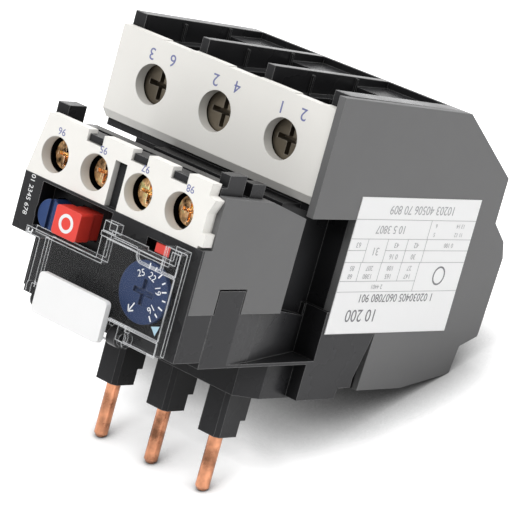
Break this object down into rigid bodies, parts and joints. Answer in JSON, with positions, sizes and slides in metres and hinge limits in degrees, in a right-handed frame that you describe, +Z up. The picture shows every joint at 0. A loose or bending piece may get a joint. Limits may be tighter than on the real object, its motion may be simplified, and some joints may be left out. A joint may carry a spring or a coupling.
{
  "type": "thermal overload relay",
  "caption": "Plug-in thermal overload relay with copper pins, screw terminals, setting dial, stop and reset buttons and a clear hinged cover.",
  "frame": {"origin": "on the axis of the middle plug-in pin, where the pin leaves its shroud", "axes": "+Z up along the pins towards the contactor, -Y out of the operating face, +X to the right as seen from the front"},
  "size_m": [0.0562, 0.0968, 0.0788],
  "materials": {
    "black_housing": "moulded, fine grain",
    "grey_black_cover": "moulded, fine grain",
    "label_paper": "printed paper",
    "white_cover": "moulded, satin",
    "steel_clamps": "zinc plated",
    "steel_screws": "zinc plated",
    "brass_screws": "yellow passivated",
    "brass_terminals": "plain",
    "blue_plastic": "satin",
    "red_plastic": "satin",
    "spring_steel": "bright drawn",
    "grey_plastic": "moulded",
    "clear_plastic": "clear moulded polycarbonate",
    "marking_white": "blank",
    "copper_parts": "bare copper",
    "bimetal_strip": "rolled",
    "heater_ribbon": "oxidised resistance alloy"
  },
  "bodies": {
    "relay": {"main_housing": "black_housing", "rear_cover": "black_housing", "side_cover": "grey_black_cover", "rating_label": "label_paper", "power_terminal_cover": "white_cover", "power_clamps": "steel_clamps", "power_screws": "steel_screws", "power_nuts": "steel_clamps", "front_housing": "black_housing", "front_side_cover": "grey_black_cover", "aux_terminal_cover": "white_cover", "aux_screws": "brass_screws", "aux_washers": "steel_clamps", "aux_terminals": "brass_terminals", "stop_spring": "spring_steel", "reset_spring": "spring_steel", "spring_plate": "grey_plastic", "lever_pin": "steel_screws", "compensation_strip": "bimetal_strip", "plug_conductor_1": "copper_parts", "bimetal_1": "bimetal_strip", "heater_1": "heater_ribbon", "load_strap_1": "copper_parts", "plug_conductor_2": "copper_parts", "bimetal_2": "bimetal_strip", "heater_2": "heater_ribbon", "load_strap_2": "copper_parts", "plug_conductor_3": "copper_parts", "bimetal_3": "bimetal_strip", "heater_3": "heater_ribbon", "load_strap_3": "copper_parts"},
    "stop_button_body": {"stop_button": "red_plastic"},
    "reset_plunger_body": {"reset_plunger": "grey_plastic"},
    "reset_knob_body": {"reset_knob": "blue_plastic"},
    "dial_body": {"setting_dial": "blue_plastic"},
    "test_flag_body": {"test_flag": "red_plastic"},
    "cover_body": {"clear_cover": "clear_plastic", "marking_plate": "marking_white"},
    "trip_slide_body": {"trip_slide": "grey_plastic"},
    "return_slide_body": {"return_slide": "grey_plastic"},
    "trip_lever_body": {"trip_lever": "grey_plastic"},
    "carriage_body": {"contact_carriage": "grey_plastic", "contact_bridges": "copper_parts"}
  },
  "joints": [
    {"name": "stop_press", "type": "slide", "parent": "relay", "child": "stop_button_body", "axis": [0, 1, 0], "range_m": [0, 0.0025], "stiffness_N_per_m": 900, "springref_m": -0.0006, "deforming": ["stop_spring"]},
    {"name": "reset_press", "type": "slide", "parent": "relay", "child": "reset_plunger_body", "axis": [0, 1, 0], "range_m": [0, 0.002], "stiffness_N_per_m": 900, "springref_m": -0.0006, "deforming": ["reset_spring"]},
    {"name": "reset_select", "type": "hinge", "parent": "reset_plunger_body", "child": "reset_knob_body", "pos_m": [0.0146, -0.027, -0.0326], "axis": [0, 1, 0], "range_deg": [0, 90]},
    {"name": "dial_turn", "type": "hinge", "parent": "relay", "child": "dial_body", "pos_m": [-0.0125, -0.029, -0.0276], "axis": [0, 1, 0], "range_deg": [-120, 120]},
    {"name": "test_push", "type": "slide", "parent": "relay", "child": "test_flag_body", "axis": [1, 0, 0], "range_m": [0, 0.0015], "stiffness_N_per_m": 300, "springref_m": -0.0005},
    {"name": "cover_hinge", "type": "hinge", "parent": "relay", "child": "cover_body", "pos_m": [0, -0.0306, -0.0183], "axis": [-1, 0, 0], "range_deg": [0, 90]},
    {"name": "trip_travel", "type": "slide", "parent": "relay", "child": "trip_slide_body", "axis": [1, 0, 0], "range_m": [0, 0.0015], "stiffness_N_per_m": 400, "springref_m": -0.0005},
    {"name": "return_travel", "type": "slide", "parent": "relay", "child": "return_slide_body", "axis": [1, 0, 0], "range_m": [-0.0015, 0]},
    {"name": "lever_turn", "type": "hinge", "parent": "relay", "child": "trip_lever_body", "pos_m": [-0.009, 0.006, -0.03045], "axis": [0, 0, 1], "range_deg": [-4.73, 0]},
    {"name": "carriage_travel", "type": "slide", "parent": "relay", "child": "carriage_body", "axis": [1, 0, 0], "range_m": [-0.00138, 0]}
  ],
  "couplings": [
    {"joint": "return_travel", "follows": "trip_travel", "ratio": -1},
    {"joint": "lever_turn", "follows": "trip_travel", "rad_per_m": -54.945},
    {"joint": "carriage_travel", "follows": "trip_travel", "ratio": -0.91209}
  ]
}
